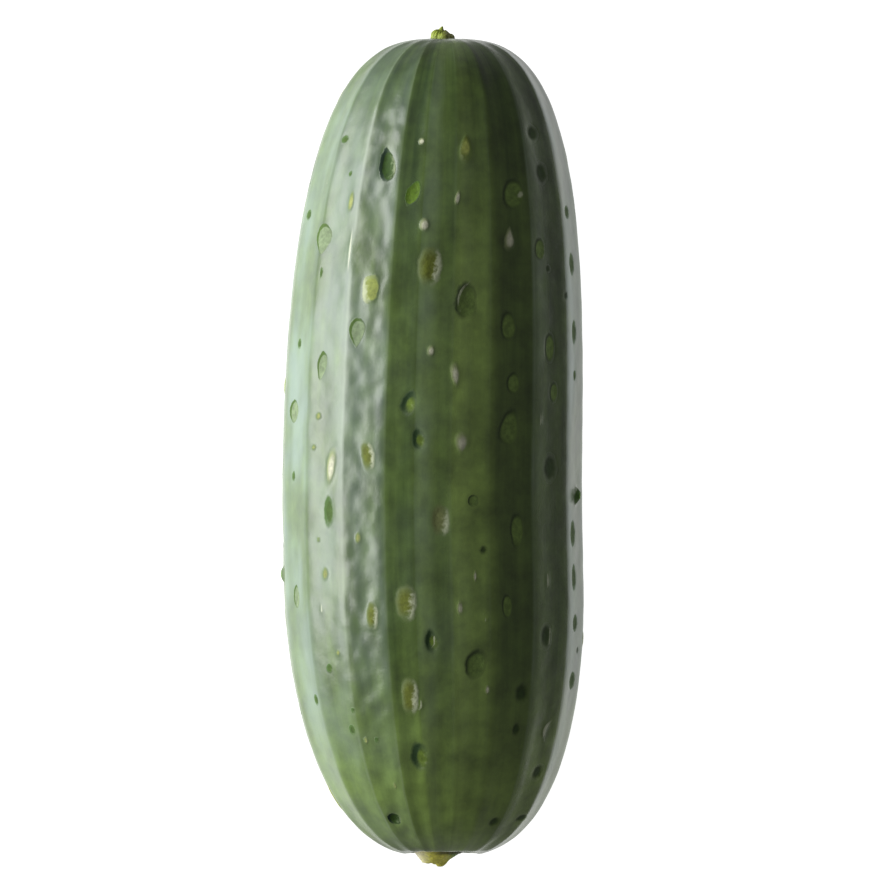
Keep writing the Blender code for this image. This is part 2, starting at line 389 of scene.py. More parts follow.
# The blossom's shrivelled lobes: middle across and along the seat, radius and height, in millimetres
LOBES = (
    (-0.75, 0.1, 1.45, 1.6), (0.35, 0.1, 1.2, 1.45), (1.1, 0.2, 1.0, 0.9), (-0.2, -0.9, 1.3, 1.3),
    (0.2, 1.0, 1.15, 1.1),
)
SPIKE_PLACE = (-0.2 * MM, 0.2 * MM)  # the dried style
SPIKE_HEIGHT = 0.7 * MM
SPIKE_REACH = 0.55 * MM
SPIKE_LEAN = 0.3  # towards +X, against its height
PETALS_REACH = 9  # higher, and the petals stay full closer to the rim
FURROWS = 17
FURROW_DEPTH = 0.09 * MM
FURROWS_END = 0.5 * MM  # along X
CRUMBS_START = -0.2 * MM  # along X
CRUMB_HEIGHT = 0.24 * MM
CRUMB_SIZE = 0.45 * MM
CRUMB_SEED = 1.7


class Tissue(NamedTuple):
    """How the grain of a seated piece looks, and how its colours run across it."""

    grain: float  # size of its pimples or crumbs
    detail: float
    raggedness: float
    span: tuple  # where its colours start and end along X, from the middle of its seat
    wander: float  # how far the grain shifts them, as a share of the span
    shades: tuple  # how dark and how light the grain makes it
    roughness: float
    relief: float  # how strongly the grain shows as bumps
    depth: float  # height of those bumps


STUB_TISSUE = Tissue(0.5 * MM, 3.0, 0.65, (-3.5 * MM, 4.0 * MM), 0.35, (0.95, 1.6), 0.6, 0.7, 0.25 * MM)
BLOSSOM_TISSUE = Tissue(0.45 * MM, 4.0, 0.7, (-2.2 * MM, 2.7 * MM), 0.3, (0.6, 1.3), 0.55, 0.6, 0.2 * MM)
SEAM_SHADOW_HEIGHT = (-0.05 * MM, -0.5 * MM)  # along Y from the stub's seat, where its painted shadow in the seam fades
SEAM_SHADOW_SIDE = (-1.2 * MM, 0.6 * MM)  # along X, where it sets in
SEAM_SHADOW_COVER = 0.85

# The stage
POOL_REACH = (79 * MM, 76 * MM)  # from the origin, the brightly lit middle of the table along X and Y
POOL_EDGE = (105 * MM, 84 * MM)  # where its light has faded
FLOOR_GREY = 0.3
FLOOR_ROUGHNESS = 0.9
WINDOW_AWAY = 0.5
WINDOW_HEIGHT = 0.34
WINDOW_WIDTH = 0.58
WINDOW_ALONG = 0.16  # its middle, towards the blossom end
SENSOR_WIDTH = 36.0  # millimetres
LENS = 600.0  # millimetres
VIEW_WIDTH = 149.7 * MM  # at the height of the fruit's axis
VIEW_CENTRE = (2.5 * MM, -0.25 * MM)
VIEW_END = 10.0  # how far the camera sees


def linear(code):
    """Linear red, green and blue of an sRGB hex colour."""
    shares = [int(code[place : place + 2], 16) / 255 for place in (1, 3, 5)]
    return tuple(s / 12.92 if s <= 0.04045 else ((s + 0.055) / 1.055) ** 2.4 for s in shares)


def smooth_step(share):
    """0 below 0, 1 above 1, and a smooth rise between."""
    share = min(max(share, 0.0), 1.0)
    return share * share * (3 - 2 * share)


def mixed(ends, share):
    """From the first end, where the share is 0, to the second, where it is 1."""
    return ends[0] + (ends[1] - ends[0]) * share


def add_node(tree, kind, inputs=(), **settings):
    """Adds a node with its settings, links or fills its inputs by number or name, and gives its outputs."""
    node = tree.nodes.new(kind)
    for name, value in settings.items():
        setattr(node, name, value)
    pairs = inputs.items() if isinstance(inputs, dict) else enumerate(inputs)
    for socket, value in pairs:
        if isinstance(value, bpy.types.NodeSocket):
            tree.links.new(value, node.inputs[socket])
        else:
            node.inputs[socket].default_value = value
    return node.outputs


def point_mesh(name, points, attributes):
    """A mesh of loose points, each with values that a tree can sample."""
    mesh = bpy.data.meshes.new(name)
    mesh.from_pydata([tuple(point) for point in points], [], [])
    fields = {"FLOAT": "value", "FLOAT_VECTOR": "vector", "FLOAT_COLOR": "color"}
    for label, (kind, values) in attributes.items():
        field = mesh.attributes.new(label, kind, "POINT")
        field.data.foreach_set(fields[kind], numpy.array(values, dtype=numpy.float32).ravel())
    return bpy.data.objects.new(name, mesh)


def mesh_object(name, builder, material):
    """Makes a finished bmesh an object in the scene."""
    mesh = bpy.data.meshes.new(name)
    builder.to_mesh(mesh)
    builder.free()
    mesh.materials.append(material)
    made = bpy.data.objects.new(name, mesh)
    bpy.context.scene.collection.objects.link(made)
    return made


# ---------------------------------------------------------------------------------------------------
# Skin


def outline_ring(end, share):
    """Radius and place along Y of the ring whose radius is this share of a rib's."""
    rounding = (1 - share**end.width_power) ** (1 / end.length_power)
    up_the_wall = (share * RIB_RADIUS - end.dimple_floor) / (end.dimple_rim - end.dimple_floor)
    dimple = end.dimple_depth * (1 - smooth_step(up_the_wall))
    return share * RIB_RADIUS, end.tip - end.side * (end.reach * (1 - rounding) + dimple)


def outline_points():
    """Evenly spaced rings from the stem end to the blossom end, with their fluting and their notch."""
    shares = [math.sin(math.pi / 2 * step / OUTLINE_STEPS) for step in range(OUTLINE_STEPS + 1)]
    fine = [outline_ring(STEM_END, share) for share in shares]
    fine += [outline_ring(BLOSSOM_END, share) for share in reversed(shares)]
    radius, place = numpy.array(fine).T
    travelled = numpy.concatenate(([0], numpy.cumsum(numpy.hypot(numpy.diff(radius), numpy.diff(place)))))
    even = numpy.linspace(0, travelled[-1], RINGS)
    radius = numpy.interp(even, travelled, radius)
    place = numpy.interp(even, travelled, place)
    bent = numpy.abs((place - BEND_MIDDLE) / (FRUIT_LENGTH / 2)) ** BEND_POWER
    sideways = AXIS_SHIFT + BEND * bent
    fluting = 1 + END_FLUTING * (1 - radius / RIB_RADIUS)
    recess = numpy.clip((NOTCH_REACH - radius) / (NOTCH_REACH - STEM_END.dimple_floor), 0, 1)
    notch = numpy.where(place < FRUIT_MIDDLE, NOTCH_DEPTH * recess * recess * (3 - 2 * recess), 0)
    return numpy.stack((radius, place, sideways), axis=1), {"fluting": fluting, "notch": notch}


def blended(label, number, share):
    """A facet's value, or a mix with its neighbour's close to the rib between them."""
    own = getattr(FACETS[number], label)
    if share < RIB_BLEND:
        return mixed((getattr(FACETS[number - 1], label), own), 0.5 + share / RIB_BLEND / 2)
    if share > 1 - RIB_BLEND:
        after = getattr(FACETS[(number + 1) % len(FACETS)], label)
        return mixed((own, after), 0.5 - (1 - share) / RIB_BLEND / 2)
    return own


def section_points():
    """Directions round the fruit: the angle, flat radius, hollow and looks of each."""
    next_ribs = [facet.rib for facet in FACETS[1:]] + [FACETS[0].rib + 360]
    points = []
    for number, (facet, next_rib) in enumerate(zip(FACETS, next_ribs)):
        half_width = math.radians(next_rib - facet.rib) / 2
        for strip in range(FACET_STRIPS):
            share = strip / FACET_STRIPS
            from_middle = half_width * (2 * share - 1)
            from_rib = min(share, 1 - share)
            worn = max(1 - from_rib / RIB_SHARE, 0) ** 2
            leaning = facet.lean * smooth_step(from_rib / RIB_BLEND)
            one_sided = 1 + leaning * (1 - 2 * smooth_step((share - LEAN_START) / LEAN_WIDTH))
            points.append(
                {
                    "turn": math.radians(mixed((facet.rib, next_rib), share)),
                    "flat": math.cos(half_width) / math.cos(from_middle) - RIB_ROUNDING * worn,
                    "hollow": 0 if facet is FACETS[-1] else math.sin(math.pi * share),
                    "thread": facet.thread if strip == 0 else 0,
                    "tint": blended("tint", number, share) * (1 + one_sided) / 2,
                    "dents": blended("dents", number, share),
                    "bloom": facet.bloom * one_sided,
                }
            )
    return points


def scattered_warts():
    """Warts for the sides and the underside, spaced out at random."""
    draw = random.Random(SCATTER_SEED)
    placed = []
    while len(placed) < HIDDEN_WARTS:
        angle = draw.choice((-1, 1)) * draw.uniform(*HIDDEN_ANGLES)
        along = draw.uniform(HIDDEN_MARGIN, 2 * MIDDLE_ALONG - HIDDEN_MARGIN)
        spot = Vector((math.radians(angle) * RIB_RADIUS, along * MM * HIDDEN_SQUASH))
        if any((spot - other).length < HIDDEN_SPACING for other, _ in placed):
            continue
        width = draw.uniform(*HIDDEN_WIDTHS)
        length = width * draw.uniform(*HIDDEN_STRETCHES)
        lean = draw.uniform(-HIDDEN_LEAN, HIDDEN_LEAN)
        kind = draw.choice(HIDDEN_KINDS)
        taper = draw.uniform(-HIDDEN_TAPER, HIDDEN_TAPER)
        placed.append((spot, (kind, angle, along, width, length, lean, taper)))
    return [row for _, row in placed]


def mark_points(name, rows, looks):
    """A mesh of points, one for each mark on the skin, laid out as the skin unrolled.

    A row is (angle, millimetres from the stem end, width, length, lean, taper, bow), and a look holds
    the mark's other values.
    """
    reaches = [max(width, length * SQUASH) / 2 * MM for _, _, width, length, _, _, _ in rows]
    places = []
    values = {label: [] for label in ("size", "lean", "taper", "bow", *looks[0])}
    for (angle, along, width, length, lean, taper, bow), reach, look in zip(rows, reaches, looks):
        y = (along - MIDDLE_ALONG) * MM + FRUIT_MIDDLE
        # Small marks stand further off the sheet, so that a large neighbour claims the skin between
        standoff = math.sqrt(max(reaches) ** 2 - reach**2)
        places.append((math.radians(angle) * RIB_RADIUS, y * SQUASH, standoff))
        shape = {"size": (width / 2 * MM, length / 2 * MM, 0), "lean": math.radians(lean), "taper": taper}
        for label, value in (*shape.items(), ("bow", bow * MM), *look.items()):
            values[label].append(value)
    kinds = {"size": "FLOAT_VECTOR", "core": "FLOAT_COLOR", "edge": "FLOAT_COLOR"}
    fields = {label: (kinds.get(label, "FLOAT"), column) for label, column in values.items()}
    return point_mesh(name, places, fields)


def wart_points():
    """The places, sizes and looks of all warts."""
    rows = [(kind, *place) for kind, places in WARTS.items() for place in places] + scattered_warts()
    looks = []
    for kind, _, _, width, _, _, _ in rows:
        look = KINDS[kind]._asdict()
        look["core"] = (*linear(look["core"]), 1)
        look["edge"] = (*linear(look["edge"]), 1)
        look["height"] *= MM * min(1, width / FULL_WART)
        looks.append(look)
    return mark_points("wart_places", [(*row[1:], 0) for row in rows], looks)


def hair_points():
    """The places and sizes of all dried hairs, and of the painted highlight along one rib."""
    looks = [{"height": HAIR_HEIGHT, "power": 2.0}] * len(HAIRS)
    return mark_points("hair_places", [(*row[:5], 0, row[5]) for row in HAIRS], looks)


def add_interface(tree, inputs):
    """Gives a tree its named inputs, each (name, socket kind, default), and its one output."""
    for name, kind, default in inputs:
        socket = tree.interface.new_socket(name=name, in_out="INPUT", socket_type=kind)
        if default is not None:
            socket.default_value = default
    tree.interface.new_socket(name="Geometry", in_out="OUTPUT", socket_type="NodeSocketGeometry")


def sampled(tree, source, place, label, kind="FLOAT"):
    """The value that one point of a mesh holds, or that point's position."""
    if label == "position":
        value = add_node(tree, "GeometryNodeInputPosition")[0]
    else:
        value = add_node(tree, "GeometryNodeInputNamedAttribute", (label,), data_type=kind)[0]
    return add_node(tree, "GeometryNodeSampleIndex", (source, value, place), data_type=kind)[0]


def stored(tree, body, values):
    """A mesh whose points keep these values, each (name, kind, value)."""
    for label, kind, value in values:
        inputs = {"Geometry": body, "Name": label, "Value": value}
        body = add_node(tree, "GeometryNodeStoreNamedAttribute", inputs, data_type=kind)[0]
    return body


def body_nodes(tree, sizes):
    """The ribbed body, as a grid wrapped round the outline, with the looks that go with each place."""
    add = partial(add_node, tree)
    section = add("GeometryNodeObjectInfo", {"Object": sizes["Section"]})["Geometry"]
    outline = add("GeometryNodeObjectInfo", {"Object": sizes["Outline"]})["Geometry"]
    columns = add("GeometryNodeAttributeDomainSize", (section,))["Point Count"]
    rings = add("GeometryNodeAttributeDomainSize", (outline,))["Point Count"]
    across = add("ShaderNodeMath", (columns, 1.0), operation="ADD")[0]
    grid = add("GeometryNodeMeshGrid", {"Vertices X": across, "Vertices Y": rings})[0]
    index = add("GeometryNodeInputIndex")[0]
    ring = add("ShaderNodeMath", (index, rings), operation="MODULO")[0]
    line = add("ShaderNodeMath", (index, rings), operation="DIVIDE")[0]
    line = add("ShaderNodeMath", (line,), operation="FLOOR")[0]
    column = add("ShaderNodeMath", (line, columns), operation="MODULO")[0]
    of_ring = partial(sampled, tree, outline, ring)
    of_column = partial(sampled, tree, section, column)

    radius, y, sideways = add("ShaderNodeSeparateXYZ", (of_ring("position", "FLOAT_VECTOR"),))
    depth = add("ShaderNodeMath", (sizes["Facet Hollow"], of_ring("fluting")), operation="MULTIPLY")[0]
    depth = add("ShaderNodeMath", (depth, of_column("hollow")), operation="MULTIPLY")[0]
    share = add("ShaderNodeMath", (of_column("flat"), depth), operation="SUBTRACT")[0]
    reach = add("ShaderNodeMath", (share, radius), operation="MULTIPLY")[0]
    turn = of_column("turn")
    sine = add("ShaderNodeMath", (turn,), operation="SINE")[0]
    cosine = add("ShaderNodeMath", (turn,), operation="COSINE")[0]
    x = add("ShaderNodeMath", (sine, reach, sideways), operation="MULTIPLY_ADD")[0]
    z = add("ShaderNodeMath", (cosine, reach, sizes["Axis Height"]), operation="MULTIPLY_ADD")[0]
    height = add("ShaderNodeMath", (z, 0.0), operation="MAXIMUM")[0]
    upper = add("ShaderNodeMath", (cosine, 0.0), operation="MAXIMUM")[0]
    recessed = add("ShaderNodeMath", (upper, of_ring("notch"), y), operation="MULTIPLY_ADD")[0]
    place = add("ShaderNodeCombineXYZ", (x, recessed, height))[0]
    shell = add("GeometryNodeSetPosition", {"Geometry": grid, "Position": place})[0]

    kept = add("ShaderNodeMapRange", (y, *STEM_FADE, STEM_SHARE, 1.0))[0]
    tint = add("ShaderNodeMix", {0: kept, 2: STEM_END_TINT, 3: of_column("tint")})[0]
    # Painted shade towards the blossom end, deeper on the +X side, away from the window
    near_blossom = add("ShaderNodeMapRange", (y, *BLOSSOM_FADE, 0.0, 1.0))[0]
    blossom_shade = add("ShaderNodeMapRange", (turn, *BLOSSOM_END_TURN, *BLOSSOM_END_SHADES))[0]
    blossom_shade = add("ShaderNodeMix", {0: near_blossom, 2: 1.0, 3: blossom_shade})[0]
    tint = add("ShaderNodeMath", (tint, blossom_shade), operation="MULTIPLY")[0]
    bloom = add("ShaderNodeMath", (of_column("bloom"), kept), operation="MULTIPLY")[0]
    # Painted shade: the bloom and its painted sheen thin towards the blossom tip
    sheen_fade = add("ShaderNodeMapRange", (y, *BLOSSOM_SHEEN_FADE, 1.0, BLOSSOM_SHEEN_SHARE))[0]
    bloom = add("ShaderNodeMath", (bloom, sheen_fade), operation="MULTIPLY")[0]
    looks = (
        ("unrolled", "FLOAT_VECTOR", add("ShaderNodeCombineXYZ", (turn, y, radius))[0]),
        ("lines", "FLOAT_VECTOR", add("ShaderNodeCombineXYZ", (sine, y, cosine))[0]),
        ("thread", "FLOAT", of_column("thread")),
        ("tint", "FLOAT", tint),
        ("dents", "FLOAT", of_column("dents")),
        ("bloom", "FLOAT", bloom),
    )
    body = stored(tree, shell, looks)
    return add("GeometryNodeMergeByDistance", {"Geometry": body, "Distance": WELD})[0]


def mark_nodes(tree, marks, rib_radius):
    """Where each point lies in its nearest mark, counted in marks, and what that mark holds.

    Gives the place across and along the mark, the distance from its middle, which is 1 at its
    outline, how far it lifts the skin, and a function that reads the mark's other values.
    """
    add = partial(add_node, tree)
    points = add("GeometryNodeObjectInfo", {"Object": marks})["Geometry"]
    unrolled = add("GeometryNodeInputNamedAttribute", ("unrolled",), data_type="FLOAT_VECTOR")[0]
    turn, y, radius = add("ShaderNodeSeparateXYZ", (unrolled,))
    arc = add("ShaderNodeMath", (turn, rib_radius), operation="MULTIPLY")[0]
    short = add("ShaderNodeMath", (y, SQUASH), operation="MULTIPLY")[0]
    spot = add("ShaderNodeCombineXYZ", (arc, short, 0.0))[0]
    nearest = add("GeometryNodeSampleNearest", (points, spot), domain="POINT")[0]
    of_mark = partial(sampled, tree, points, nearest)

    mark_arc, mark_short, _ = add("ShaderNodeSeparateXYZ", (of_mark("position", "FLOAT_VECTOR"),))
    half_width, half_length, _ = add("ShaderNodeSeparateXYZ", (of_mark("size", "FLOAT_VECTOR"),))
    across = add("ShaderNodeMath", (arc, mark_arc), operation="SUBTRACT")[0]
    narrowing = add("ShaderNodeMath", (radius, rib_radius), operation="DIVIDE")[0]
    across = add("ShaderNodeMath", (across, narrowing), operation="MULTIPLY")[0]
    along = add("ShaderNodeMath", (short, mark_short), operation="SUBTRACT")[0]
    along = add("ShaderNodeMath", (along, SQUASH), operation="DIVIDE")[0]
    flat = add("ShaderNodeCombineXYZ", (across, along, 0.0))[0]
    turned = {"Vector": flat, "Angle": of_mark("lean")}
    upright = add("ShaderNodeVectorRotate", turned, rotation_type="Z_AXIS")[0]
    across, along, _ = add("ShaderNodeSeparateXYZ", (upright,))
    v = add("ShaderNodeMath", (along, half_length), operation="DIVIDE")[0]
    square = add("ShaderNodeMath", (v, v), operation="MULTIPLY")[0]
    across = add("ShaderNodeMath", (square, of_mark("bow"), across), operation="MULTIPLY_ADD")[0]
    lean_in = add("ShaderNodeMath", (v, of_mark("taper")), operation="MULTIPLY")[0]
    narrowed = add("ShaderNodeMath", (1.0, lean_in), operation="SUBTRACT")[0]
    narrowed = add("ShaderNodeMath", (narrowed, NARROWEST), operation="MAXIMUM")[0]
    narrowed = add("ShaderNodeMath", (narrowed, half_width), operation="MULTIPLY")[0]
    u = add("ShaderNodeMath", (across, narrowed), operation="DIVIDE")[0]

    power = of_mark("power")
    sides = []
    for side in (u, v):
        side = add("ShaderNodeMath", (side,), operation="ABSOLUTE")[0]
        sides.append(add("ShaderNodeMath", (side, power), operation="POWER")[0])
    total = add("ShaderNodeMath", sides, operation="ADD")[0]
    root = add("ShaderNodeMath", (1.0, power), operation="DIVIDE")[0]
    away = add("ShaderNodeMath", (total, root), operation="POWER")[0]
    away = add("ShaderNodeMath", (away, FARTHEST), operation="MINIMUM")[0]
    dome = add("ShaderNodeMapRange", (away, *DOME, 0.0, 1.0), interpolation_type="SMOOTHSTEP")[0]
    lift = add("ShaderNodeMath", (dome, of_mark("height")), operation="MULTIPLY")[0]
    return (u, v, away), lift, of_mark


def skin_tree():
    """Geometry nodes that make the ribbed, warty skin from a section, an outline and the wart places."""
    tree = bpy.data.node_groups.new("Ribbed fruit", "GeometryNodeTree")
    add = partial(add_node, tree)
    add_interface(
        tree,
        (
            ("Section", "NodeSocketObject", None),
            ("Outline", "NodeSocketObject", None),
            ("Warts", "NodeSocketObject", None),
            ("Hairs", "NodeSocketObject", None),
            ("Rib Radius", "NodeSocketFloat", RIB_RADIUS),
            ("Axis Height", "NodeSocketFloat", AXIS_HEIGHT),
            ("Facet Hollow", "NodeSocketFloat", 0.0),
            ("Lump Size", "NodeSocketFloat", 1.0),
            ("Lump Height", "NodeSocketFloat", 0.0),
            ("Lump Seed", "NodeSocketFloat", LUMP_SEED),
            ("Skin", "NodeSocketMaterial", None),
        ),
    )
    sizes = add("NodeGroupInput")
    body = body_nodes(tree, sizes)
    wart_place, wart_lift, of_wart = mark_nodes(tree, sizes["Warts"], sizes["Rib Radius"])
    (_, _, from_hair), hair_lift, _ = mark_nodes(tree, sizes["Hairs"], sizes["Rib Radius"])
    looks = [
        ("wart_place", "FLOAT_VECTOR", add("ShaderNodeCombineXYZ", wart_place)[0]),
        ("from_hair", "FLOAT", from_hair),
        ("wart_core", "FLOAT_COLOR", of_wart("core", "FLOAT_COLOR")),
        ("wart_edge", "FLOAT_COLOR", of_wart("edge", "FLOAT_COLOR")),
    ]
    for label in ("rim", "softness", "shift", "glint"):
        looks.append((f"wart_{label}", "FLOAT", of_wart(label)))

    frequency = add("ShaderNodeMath", (1.0, sizes["Lump Size"]), operation="DIVIDE")[0]
    position = add("GeometryNodeInputPosition")[0]
    stretch = (position, (1.0, LUMP_STRETCH, 1.0))
    stretched = add("ShaderNodeVectorMath", stretch, operation="MULTIPLY")[0]
    lumps = {"Vector": stretched, "W": sizes["Lump Seed"], "Scale": frequency, "Detail": 0.5}
    lumps = add("ShaderNodeTexNoise", lumps, noise_dimensions="4D")[0]
    lumps = add("ShaderNodeMath", (lumps, 0.5), operation="SUBTRACT")[0]
    dented = add("GeometryNodeInputNamedAttribute", ("dents",), data_type="FLOAT")[0]
    lumps = add("ShaderNodeMath", (lumps, dented), operation="MULTIPLY")[0]
    lift = add("ShaderNodeMath", (wart_lift, hair_lift), operation="ADD")[0]
    raised = add("ShaderNodeMath", (lumps, sizes["Lump Height"], lift), operation="MULTIPLY_ADD")[0]
    normal = add("GeometryNodeInputNormal")[0]
    offset = add("ShaderNodeVectorMath", {"Vector": normal, "Scale": raised}, operation="SCALE")[0]
    moved = add("ShaderNodeVectorMath", (position, offset), operation="ADD")[0]
    x, y, z = add("ShaderNodeSeparateXYZ", (moved,))
    above = add("ShaderNodeMath", (z, 0.0), operation="MAXIMUM")[0]
    moved = add("ShaderNodeCombineXYZ", (x, y, above))[0]
    body = stored(tree, body, looks)
    body = add("GeometryNodeSetPosition", {"Geometry": body, "Position": moved})[0]
    body = add("GeometryNodeSetShadeSmooth", {"Geometry": body})[0]
    body = add("GeometryNodeRealizeInstances", {"Geometry": body})[0]
    body = add("GeometryNodeSetMaterial", {"Geometry": body, "Material": sizes["Skin"]})[0]
    add("NodeGroupOutput", (body,))
    return tree


def run_tree(name, tree, values):
    """Runs a tree in a modifier, and keeps what it makes as a plain mesh object."""
    piece = bpy.data.objects.new(name, bpy.data.meshes.new(name))
    bpy.context.scene.collection.objects.link(piece)
    modifier = piece.modifiers.new(tree.name, "NODES")
    modifier.node_group = tree
    for item in tree.interface.items_tree:
        if item.in_out == "INPUT":
            modifier[item.identifier] = values[item.name]
    graph = bpy.context.evaluated_depsgraph_get()
    mesh = bpy.data.meshes.new_from_object(
        piece.evaluated_get(graph), preserve_all_data_layers=True, depsgraph=graph
    )
    piece.modifiers.remove(modifier)
    piece.data = mesh
    return piece


def new_material(name):
    """A node material, with its tree and its shader."""
    material = bpy.data.materials.new(name)
    material.use_nodes = True
    tree = material.node_tree
    return material, tree, tree.nodes["Principled BSDF"]


def epidermis_material(look):
    """Living cucumber skin: a tough waxy epidermis over dark green flesh, with a cloudy bloom.

    The wax gives broad soft highlights, and the bloom a bluish white veil that rubs off in patches;
    the facets' greens and bloom also carry painted light and shade, paler towards the window.
    Pale threads run lengthwise, partly a painted highlight along the ribs, and each wart has a dark rim,
    deepened as painted shade on its -X side, a lighter speckled crown and some crust, partly a painted
    highlight on its lit edge.
    """
    material, tree, shader = new_material("waxy_cucumber_epidermis")
    add = partial(add_node, tree)
    coordinates = add("ShaderNodeTexCoord")["Object"]

    def attribute(label, output="Fac"):
        """What the skin keeps under this name."""
        return add("ShaderNodeAttribute", attribute_name=label)[output]

    lengthwise = {"Vector": attribute("lines", "Vector"), "Scale": (RIB_RADIUS, STREAK_STRETCH, RIB_RADIUS)}
    lengthwise = add("ShaderNodeMapping", lengthwise)[0]
    smeared = add("ShaderNodeMapping", {"Vector": coordinates, "Scale": (1.0, BLOOM_STRETCH, 1.0)})[0]
    patterns = []
    for place, size, detail, raggedness in (
        (lengthwise, STREAK_WIDTH, 3.0, 0.6),
        (coordinates, MOTTLE_SIZE, 4.0, 0.6),
        (smeared, BLOOM_SIZE, 2.0, 0.5),
        (coordinates, GRAIN_SIZE, 2.0, 0.6),
        (coordinates, PORE_SIZE, 3.0, 0.65),
    ):
        pattern = {"Vector": place, "Scale": 1 / size, "Detail": detail, "Roughness": raggedness}
        patterns.append(add("ShaderNodeTexNoise", pattern)[0])
    streaks, mottling, clouds, grains, pores = patterns

    # Green. A noise keeps to the middle of its range, so each is spread out from there.
    streaks = add("ShaderNodeMapRange", (streaks, 0.2, 0.8, -STREAK_STRENGTH, STREAK_STRENGTH))[0]
    lightness = add("ShaderNodeMath", (streaks, attribute("tint")), operation="ADD")[0]
    greens = {0: lightness, 6: (*look.dark_green, 1), 7: (*look.light_green, 1)}
    green = add("ShaderNodeMix", greens, data_type="RGBA")[2]
    mottled = add("ShaderNodeMapRange", (mottling, 0.25, 0.75, *MOTTLE_SHADES))[0]
    green = add("ShaderNodeVectorMath", {0: green, "Scale": mottled}, operation="SCALE")[0]

    # Bloom and rib threads, with the painted sheen and highlights that they carry
    clouds = (clouds, 0.3, 0.72, BLOOM_THINNEST, 1.0)
    clouds = add("ShaderNodeMapRange", clouds, interpolation_type="SMOOTHSTEP")[0]
    kept = add("ShaderNodeMath", (clouds, attribute("bloom")), operation="MULTIPLY")[0]
    veil = add("ShaderNodeMath", (kept, look.bloom_cover), operation="MULTIPLY")[0]
    thread = add("ShaderNodeMath", (attribute("thread"), clouds), operation="MULTIPLY")[0]

    # Place in the nearest wart, with its outline made uneven
    u, v, away = add("ShaderNodeSeparateXYZ", (attribute("wart_place", "Vector"),))
    wobble = add("ShaderNodeMath", (grains, 0.5), operation="SUBTRACT")[0]
    away = add("ShaderNodeMath", (wobble, EDGE_GRAIN, away), operation="MULTIPLY_ADD")[0]
    uneven = add("ShaderNodeMath", (mottling, 0.5), operation="SUBTRACT")[0]
    away = add("ShaderNodeMath", (uneven, EDGE_WAVES, away), operation="MULTIPLY_ADD")[0]
    sideways = add("ShaderNodeMath", (v, SLANT, u), operation="MULTIPLY_ADD")[0]

    def inside(distance, outline):
        """1 within this share of the wart, fading out over the wart's own softness."""
        faded = add("ShaderNodeMath", (outline, attribute("wart_softness")), operation="SUBTRACT")[0]
        share = (distance, outline, faded, 0.0, 1.0)
        return add("ShaderNodeMapRange", share, interpolation_type="SMOOTHSTEP")[0]

    # Its dark edge, deepened as painted shade on its -X side, its speckled core, and its crust, partly a
    # painted highlight on its lit edge
    whole = inside(away, WART_OUTLINE)
    edge_shade = add("ShaderNodeMapRange", (sideways, *RIM_FADE, RIM_FAINTEST, 1.0))[0]
    outline = add("ShaderNodeMath", (whole, edge_shade), operation="MULTIPLY")[0]
    shifted = add("ShaderNodeMath", (sideways, attribute("wart_shift")), operation="MULTIPLY")[0]
    shifted = add("ShaderNodeMath", (away, shifted), operation="SUBTRACT")[0]
    reach = add("ShaderNodeMath", (1.0, attribute("wart_rim")), operation="SUBTRACT")[0]
    crown = inside(shifted, reach)
    crown = add("ShaderNodeMath", (crown, whole), operation="MULTIPLY")[0]
    speckle = add("ShaderNodeMapRange", (grains, 0.35, 0.65, *SPECKLES))[0]
    core = {0: attribute("wart_core", "Color"), "Scale": speckle}
    core = add("ShaderNodeVectorMath", core, operation="SCALE")[0]
    # Crust, partly dried sap and partly a painted highlight on the wart's lit edge
    glint = attribute("wart_glint")
    leaning = add("ShaderNodeMath", (u, glint), operation="MULTIPLY")[0]
    for value, strength in ((v, GLINT_CRUST_SLANT), (wobble, GLINT_CRUST_GRAIN)):
        leaning = add("ShaderNodeMath", (value, strength, leaning), operation="MULTIPLY_ADD")[0]
    crust_glint = (leaning, *GLINT_CRUST_FADE, 0.0, GLINT_CRUST_COVER)
    crust_glint = add("ShaderNodeMapRange", crust_glint, interpolation_type="SMOOTHSTEP")[0]
    has_glint = add("ShaderNodeMath", (glint,), operation="ABSOLUTE")[0]
    for share in (whole, has_glint):
        crust_glint = add("ShaderNodeMath", (crust_glint, share), operation="MULTIPLY")[0]
    hair = (attribute("from_hair"), *HAIR_FADE, 0.0, HAIR_COVER)
    hair = add("ShaderNodeMapRange", hair, interpolation_type="SMOOTHSTEP")[0]

    colour = green
    for share, cover in (
        (thread, (*look.thread_and_highlight_colour, 1)),
        (veil, (*look.bloom_and_sheen_colour, 1)),
        (outline, attribute("wart_edge", "Color")),
        (crown, core),
        (crust_glint, (*look.crust_hair_and_glint_colour, 1)),
        (hair, (*look.crust_hair_and_glint_colour, 1)),
    ):
        colour = add("ShaderNodeMix", {0: share, 6: colour, 7: cover}, data_type="RGBA")[2]
    rough = add("ShaderNodeMapRange", (kept, 0.0, 1.0, WAX_ROUGHNESS, BLOOM_ROUGHNESS))[0]
    rough = add("ShaderNodeMix", {0: whole, 2: rough, 3: WART_ROUGHNESS})[0]

    # Relief too fine for the mesh
    pored = add("ShaderNodeBump", {"Height": pores, "Strength": PORE_STRENGTH, "Distance": PORE_DEPTH})[0]
    crusted = add("ShaderNodeMath", (grains, whole), operation="MULTIPLY")[0]
    relief = {"Height": crusted, "Strength": CRUST_STRENGTH, "Distance": CRUST_DEPTH, "Normal": pored}
    relief = add("ShaderNodeBump", relief)[0]

    tree.links.new(colour, shader.inputs["Base Color"])
    tree.links.new(rough, shader.inputs["Roughness"])
    tree.links.new(relief, shader.inputs["Normal"])
    shader.inputs["IOR"].default_value = WAX_IOR
    return material


# ---------------------------------------------------------------------------------------------------
# Stub and blossom


